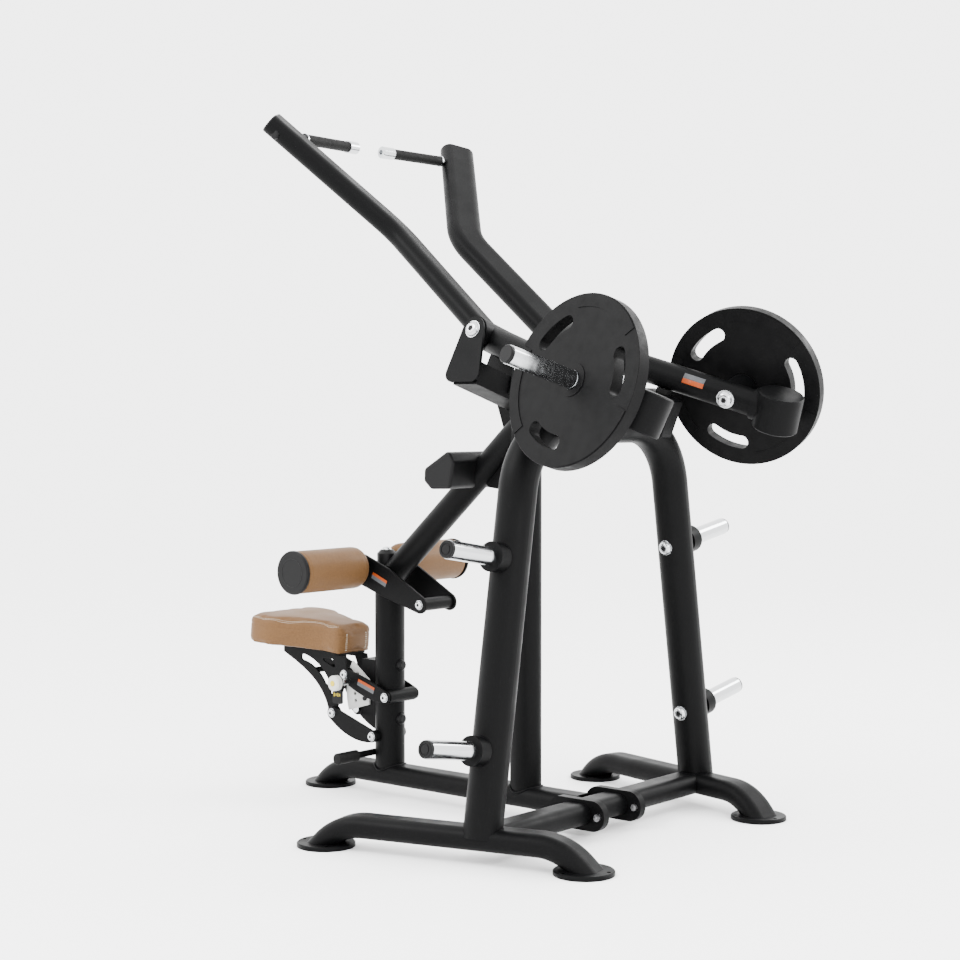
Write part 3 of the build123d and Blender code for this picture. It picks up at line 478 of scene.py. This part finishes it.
def build_cushion(mats):
    pad = solid_copy("seat_cushion", "seat_pad", 0.001, 0.005)
    plane = SeatPlane()
    swell(pad, 4.0, 0.008)
    for v in pad.data.vertices:
        x, s, n = plane.flat(v.co)
        waist = exp(-((s - 0.11) / 0.055) ** 2) * min(1.0, abs(x) / 0.06)
        v.co.x += (WAIST_FILL if x > 0 else -WAIST_FILL) * waist
        if n < 0.001:
            v.co += plane.up * (0.001 - n)
        elif n > plane.thickness * 0.6:
            dome = max(0.0, 1 - (x / plane.half) ** 2) * max(0.0, 1 - (2 * s / plane.length - 1) ** 2)
            v.co += plane.up * (0.009 * dome)
    subdivide(pad)
    tree = tree_of(pad)
    rim = side_loop(plane, tree, plane.thickness * 0.5, 0.0105)
    seam = [p for p, _ in drop_on(plane, tree, without_tail(plane, rim))]
    press_seam(pad, seam, 0.0011, 0.0035)
    border = side_loop(plane, tree, plane.thickness * 0.74, 0.0)
    press_seam(pad, border + border[:1], 0.0011, 0.004)
    hem = side_loop(plane, tree, plane.thickness * 0.12, 0.0)
    press_seam(pad, hem + hem[:1], 0.0012, 0.005)
    tree = tree_of(pad)
    pad.data.materials.clear()
    pad.data.materials.append(mats["leather_tan"])
    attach(pad, "seat")
    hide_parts("seat_cushion")

    runs = []
    for inset in (0.0084, 0.0126):
        loop = side_loop(plane, tree, plane.thickness * 0.5, inset)
        loop = resample(loop, STITCH_STEP, closed=True)
        runs.append(drop_on(plane, tree, without_tail(plane, loop)))
    for side in (1, -1):
        for offset in (-0.0021, 0.0021):
            runs.append(corner_run(plane, tree, side, offset))
    sew("seat_stitching", runs, "seat", mats)


def build_roller(side, mats):
    """One thigh roller pad, swelled between its end seams."""
    node = f"roller_pad_{side}"
    pad = solid_copy(node, f"thigh_pad_{side}", 0.0025, 0.006)
    swell(pad, 4.0, 0.005)
    low, high = (Vector(c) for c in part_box(node))
    centre = (low + high) / 2
    sign = 1 if side == "right" else -1
    inner = min(low.x * sign, high.x * sign) * sign
    outer = max(low.x * sign, high.x * sign) * sign
    radius = (high.z - low.z) / 2
    for v in pad.data.vertices:
        reach = Vector((0, v.co.y - centre.y, v.co.z - centre.z))
        if reach.length > radius:
            v.co -= reach.normalized() * (reach.length - radius)
        if (v.co.x - outer) * sign > -0.0005:
            v.co.x = outer - sign * 0.0005
    subdivide(pad)
    seams = [inner + sign * 0.027, outer - sign * 0.012]
    for x in seams:
        ring = [Vector((x, centre.y + radius * cos(2 * pi * k / 180),
                        centre.z + radius * sin(2 * pi * k / 180)))
                for k in range(181)]
        press_seam(pad, ring, 0.0012, 0.0045)
    pad.data.materials.clear()
    pad.data.materials.append(mats["leather_tan"])
    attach(pad, f"roller_{side}")
    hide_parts(node)


# ---- small pieces ----------------------------------------------------------------------------
def label(name, centre, normal, along, width, height, body, mats):
    """A blank two-tone rating label, a fraction of a millimetre proud of its surface."""
    normal, along = normal.normalized(), along.normalized()
    across = normal.cross(along)
    split = 0.08
    for part, low, high, mat in (("field", -0.5, split, "label_grey"), ("band", split, 0.5, "label_orange")):
        verts, faces = [], []
        for lift in (-0.0004, 0.0004):
            for u, v in ((-0.5, low), (0.5, low), (0.5, high), (-0.5, high)):
                verts.append(centre + along * (u * width) + across * (v * height) + normal * lift)
        faces = [(3, 2, 1, 0), (4, 5, 6, 7), (0, 1, 5, 4), (1, 2, 6, 5), (2, 3, 7, 6), (3, 0, 4, 7)]
        add_mesh(f"{name}_{part}", verts, faces, mats[mat], body, smooth=False)


def joint(name):
    return next(j for j in frame["joints"] if j["name"] == name)


def lever_direction(sign):
    """From the arm's pivot to the rear, along the lever."""
    return Vector((sign * 0.2372, 0.9242, -0.2994)).normalized()


def lever_label(side, mats):
    """A blank label wrapped on the outer upper side of a rear lever."""
    sign = 1 if side == "right" else -1
    pivot = Vector(joint(f"arm_{side}_pivot")["pos_m"])
    along = lever_direction(sign)
    radius = 0.0382
    spot = pivot + along * 0.43
    inwards = Vector((-sign * 0.94, 0, 0.34))
    inwards = (inwards - along * inwards.dot(along)).normalized()
    across = inwards.cross(along).normalized()
    for part, start, end, mat in (("band", -0.36, 0.0, "label_orange"), ("field", 0.0, 0.42, "label_grey")):
        verts, faces = [], []
        steps = 6
        for k in range(steps + 1):
            turn = (start + (end - start) * k / steps) * -sign
            out = inwards * cos(turn) + across * sin(turn)
            for reach in (-0.032, 0.032):
                verts.append(spot + along * reach + out * (radius - 0.0006))
                verts.append(spot + along * reach + out * (radius + 0.0003))
        for k in range(steps):
            b = 4 * k
            faces += [(b + 1, b + 3, b + 7, b + 5), (b, b + 4, b + 6, b + 2), (b, b + 1, b + 5, b + 4),
                      (b + 2, b + 6, b + 7, b + 3)]
        end_at = 4 * steps
        faces += [(0, 2, 3, 1), (end_at, end_at + 1, end_at + 3, end_at + 2)]
        add_mesh(f"lever_label_{side}_{part}", verts, faces, mats[mat], f"arm_{side}")


def weld_ring(name, post, below, radius, mats):
    """A bead of weld round the foot of an upright tube, draped on the tube below it."""
    high = Vector(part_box(post)[1])
    x, y = 0.0, high.y - radius if post != "front_post" else FRONT_POST_Y
    tree = tree_of(nodes[below])
    path, normals = [], []
    count = 140
    for k in range(count):
        angle = 2 * pi * k / count
        out = Vector((cos(angle), sin(angle), 0))
        start = Vector((x, y, 0.3)) + out * (radius + 0.0012)
        hit, normal, _, _ = tree.ray_cast(start, Vector((0, 0, -1)), 1.0)
        if hit is None:
            return
        ripple = 1 + 0.16 * sin(k * 2 * pi / 4)
        path.append(hit + out * (0.0008 * ripple))
        normals.append((normal + out).normalized())
    verts, faces = [], []
    rings = tube_rings(path + path[:1], normals + normals[:1], 0.0034, 8)
    add_rings(verts, faces, rings[:-1], closed=True)
    add_mesh(name, verts, faces, mats["powder_black"], "frame")


FRONT_POST_Y = joint("roller_right_spin")["pos_m"][1] + 0.053


def disc(name, centre, axis, radius, height, mat, body, dome=0.35):
    """A turned disc with a rolled rim and a slightly domed face."""
    axis = axis.normalized()
    side = axis.orthogonal().normalized()
    other = axis.cross(side)
    profile = [(radius, 0.0), (radius, height * (1 - dome)), (radius * 0.97, height * (1 - dome * 0.5)),
               (radius * 0.9, height * (1 - dome * 0.2)), (radius * 0.6, height), (0.0, height)]
    verts, faces, sides = [], [], 48
    for r, h in profile[:-1]:
        for k in range(sides):
            angle = 2 * pi * k / sides
            verts.append(centre + axis * h + side * (r * cos(angle)) + other * (r * sin(angle)))
    for i in range(len(profile) - 2):
        for k in range(sides):
            m = (k + 1) % sides
            faces.append((i * sides + k, i * sides + m, (i + 1) * sides + m, (i + 1) * sides + k))
    faces.append(tuple(reversed(range(sides))))
    faces.append(tuple((len(profile) - 2) * sides + k for k in range(sides)))
    return add_mesh(name, verts, faces, mat, body)


def socket_shade_disc(name, centre, axis, node, radius, body, mats):
    """A dark disc at a screw head's socket: painted shade standing in for the shaded hollow of the socket."""
    axis = axis.normalized()
    hit, _, _, _ = tree_of(nodes[node]).ray_cast(centre + axis * 0.05, -axis, 0.1)
    if hit is None:
        return
    side = axis.orthogonal().normalized()
    other = axis.cross(side)
    verts = []
    # The disc is black plastic as painted shade, not the screw's own colour.
    for lift in (-0.0003, 0.0015):
        for k in range(24):
            angle = 2 * pi * k / 24
            verts.append(hit + axis * lift + side * (radius * cos(angle)) + other * (radius * sin(angle)))
    faces = [tuple(reversed(range(24))), tuple(range(24, 48))]
    faces += [(k, (k + 1) % 24, 24 + (k + 1) % 24, 24 + k) for k in range(24)]
    add_mesh(name, verts, faces, mats["plastic_black"], body, smooth=False)


def paint_socket_shades(mats):
    # Dark discs on the screw heads: painted shade for the hollows of their sockets.
    rear = Vector(joint("seat_height")["pos_m"])
    front = Vector(joint("seat_level")["pos_m"])
    low_rear = Vector(joint("lower_link_pivot")["pos_m"])
    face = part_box("seat_upper_links")[1][0]
    bracket_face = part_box("thigh_bracket")[1][0]
    leg_y = sum(c[1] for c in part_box("storage_horns")) / 2
    for tag, sign in (("right", 1), ("left", -1)):
        out = Vector((sign, 0, 0))
        for part, spot, node, body in (
                ("upper_rear", rear, "upper_link_pins", "upper_links"),
                ("upper_front", front, "upper_link_pins", "upper_links"),
                ("lower_rear", low_rear, "lower_link_pins", "lower_links"),
                ("lower_front", low_rear + front - rear, "lower_link_pins", "lower_links")):
            centre = Vector((sign * face, spot.y, spot.z))
            socket_shade_disc(f"socket_{part}_{tag}", centre, out, node, 0.0043, body, mats)
        centre = Vector((sign * bracket_face, FRONT_POST_Y + BRACKET_BOLT[0], BRACKET_BOLT[1]))
        socket_shade_disc(f"socket_shade_bracket_{tag}", centre, out, "frame_bolts", 0.0043, "frame", mats)
        for k, z in enumerate(STORAGE_Z):
            inwards = Vector((-sign, 0, -LEG_LEAN)).normalized()
            centre = Vector((sign * (LEG_X0 - LEG_LEAN * z), leg_y, z)) + inwards * 0.06
            socket_shade_disc(f"socket_shade_storage_{tag}_{k + 1}", centre, inwards, "frame_bolts", 0.0064, "frame", mats)
        pivot = Vector(joint(f"arm_{tag}_pivot")["pos_m"])
        shaft = Vector(joint(f"arm_{tag}_pivot")["axis"]).normalized()
        for k, way in enumerate((1, -1)):
            socket_shade_disc(f"socket_shade_pivot_{tag}_{k + 1}", pivot + shaft * (way * 0.086), shaft * way, "frame_bolts",
                   0.0074, "frame", mats)
        lever = lever_direction(sign)
        horn = Vector(joint(f"plate_{tag}_slide")["axis"]).normalized()
        socket_shade_disc(f"socket_shade_lever_{tag}", pivot + lever * HORN_ALONG - horn * 0.05, -horn, f"arm_chrome_{tag}", 0.0074,
               f"arm_{tag}", mats)


def knob_face(mats):
    low, high = (Vector(c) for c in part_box("release_knob"))
    centre = Vector((high.x, (low.y + high.y) / 2, (low.z + high.z) / 2))
    disc("knob_centre", centre - Vector((0.001, 0, 0)), Vector((1, 0, 0)), 0.0085, 0.0032, mats["yellow"],
         "release")
    disc("knob_collar", Vector((high.x - 0.0235, centre.y, centre.z)), Vector((1, 0, 0)), 0.0243, 0.005,
         mats["plastic_black"], "release")


def height_marks(mats):
    """Small plain yellow tick marks on the height block."""
    low, high = (Vector(c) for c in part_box("height_block"))
    for k in range(4):
        y = low.y + (high.y - low.y) * (0.2 + 0.2 * k)
        size = Vector((0.0006, 0.0011, 0.0055 if k % 2 == 0 else 0.0038))
        centre = Vector((high.x, y, high.z - 0.012))
        verts = [centre + Vector((size.x * a, size.y * b, size.z * c))
                 for a in (-1, 1) for b in (-1, 1) for c in (-1, 1)]
        faces = [(0, 1, 3, 2), (4, 6, 7, 5), (0, 4, 5, 1), (2, 3, 7, 6), (0, 2, 6, 4), (1, 5, 7, 3)]
        add_mesh(f"height_mark_{k + 1}", verts, faces, mats["yellow"], "seat", smooth=False)


def roller_rings(mats):
    """A fine raised ring moulded on each roller's end cap."""
    for side in ("right", "left"):
        sign = 1 if side == "right" else -1
        low, high = (Vector(c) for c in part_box(f"roller_core_{side}"))
        x = max(low.x * sign, high.x * sign) * sign
        centre = Vector((x - sign * 0.0004, (low.y + high.y) / 2, (low.z + high.z) / 2))
        path, normals = [], []
        for k in range(120):
            angle = 2 * pi * k / 120
            path.append(centre + Vector((0, cos(angle), sin(angle))) * 0.041)
            normals.append(Vector((sign, 0, 0)))
        verts, faces = [], []
        rings = tube_rings(path + path[:1], normals + normals[:1], 0.0011, 8)
        add_rings(verts, faces, rings[:-1], closed=True)
        add_mesh(f"roller_cap_ring_{side}", verts, faces, mats["plastic_black"],
                 f"roller_{side}")


# ---- stage -----------------------------------------------------------------------------------
def add_stage():
    mesh = bpy.data.meshes.new("floor")
    half = 30
    corners = [(-half, -half, 0), (half, -half, 0), (half, half, 0), (-half, half, 0)]
    mesh.from_pydata(corners, [], [(0, 1, 2, 3)])
    mat, tree, shader = new_material("floor_pale", (1.0, 1.0, 1.0), 0.7)
    tree.links.new(spread(tree, noise(tree, 3, 3), 0.62, 0.75), shader.inputs["Roughness"])
    mesh.materials.append(mat)
    floor = bpy.data.objects.new("floor", mesh)
    floor.location.z = -0.0005
    scene.collection.objects.link(floor)

    world = bpy.data.worlds.new("sky")
    world.use_nodes = True
    world.node_tree.nodes["Background"].inputs["Color"].default_value = (1, 1, 1, 1)
    world.node_tree.nodes["Background"].inputs["Strength"].default_value = 4.6
    scene.world = world
    middle = Vector((0, 0, 1.0))
    for name, spot, size, power in (("key", (3.6, -1.6, 4.2), 2.6, 260), ("rim", (-3.8, 2.2, 3.6), 2.2, 180),
                                    ("strip", (1.4, 4.6, 2.6), 1.6, 110)):
        data = bpy.data.lights.new(name, "AREA")
        data.shape = "RECTANGLE"
        data.size, data.size_y = size, size * 0.6
        data.energy = power
        lamp = bpy.data.objects.new(name, data)
        lamp.location = spot
        lamp.rotation_euler = (middle - Vector(spot)).to_track_quat("-Z", "Y").to_euler()
        scene.collection.objects.link(lamp)


def all_materials():
    return {
        "powder_black": powder_coat(),
        "plate_iron": coated_iron(),
        "chrome": bright_metal("chrome", (0.46, 0.47, 0.48), 0.13, 0.22, (1, 1, 1)),
        "steel": bright_metal("steel", (0.42, 0.42, 0.43), 0.24, 0.36, (0.1, 1, 1)),
        "bronze": bright_metal("bronze", (0.5, 0.33, 0.16), 0.28, 0.42, (0.1, 1, 1)),
        "rubber_black": rubber(),
        "plastic_black": moulded_plastic("plastic_black", (0.0022, 0.0022, 0.0024), 0.42),
        "leather_tan": upholstery(),
        "index_white": enamel("index_white", (0.36, 0.36, 0.35), 0.3),
        "knob_white": moulded_plastic("knob_white", (0.45, 0.45, 0.43), 0.3, 900),
        "yellow": enamel("yellow", (0.5, 0.38, 0.02), 0.35),
        "label_orange": enamel("label_orange", (0.2, 0.032, 0.004), 0.4),
        "label_grey": enamel("label_grey", (0.05, 0.052, 0.056), 0.4),
        "thread": thread(),
    }


def main():
    add_camera()
    add_stage()
    mats = all_materials()
    dress_nodes(mats)
    build_cushion(mats)
    for side in ("right", "left"):
        build_roller(side, mats)
        lever_label(side, mats)
    # Dark discs on the screw heads, painted shade for the socket hollows.
    paint_socket_shades(mats)
    knob_face(mats)
    height_marks(mats)
    roller_rings(mats)
    weld_ring("weld_upright", "upright_post", "centre_base_tube", 0.045, mats)
    weld_ring("weld_front_post", "front_post", "centre_base_tube", 0.045, mats)

    bracket = Vector(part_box("thigh_bracket")[1])
    slope = Vector((0, 0.92, -0.393))
    label("thigh_label", Vector((bracket.x, FRONT_POST_Y + 0.021, 0.661)), Vector((1, 0, 0)), slope,
          0.062, 0.02, "frame", mats)
    upper = joint("seat_height")["pos_m"]
    link_out = Vector(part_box("seat_upper_links")[1]).x
    label("link_label", Vector((link_out, upper[1] - 0.077, upper[2] + 0.027)), Vector((1, 0, 0)),
          Vector((0, 0.95, -0.311)), 0.07, 0.02, "upper_links", mats)


main()
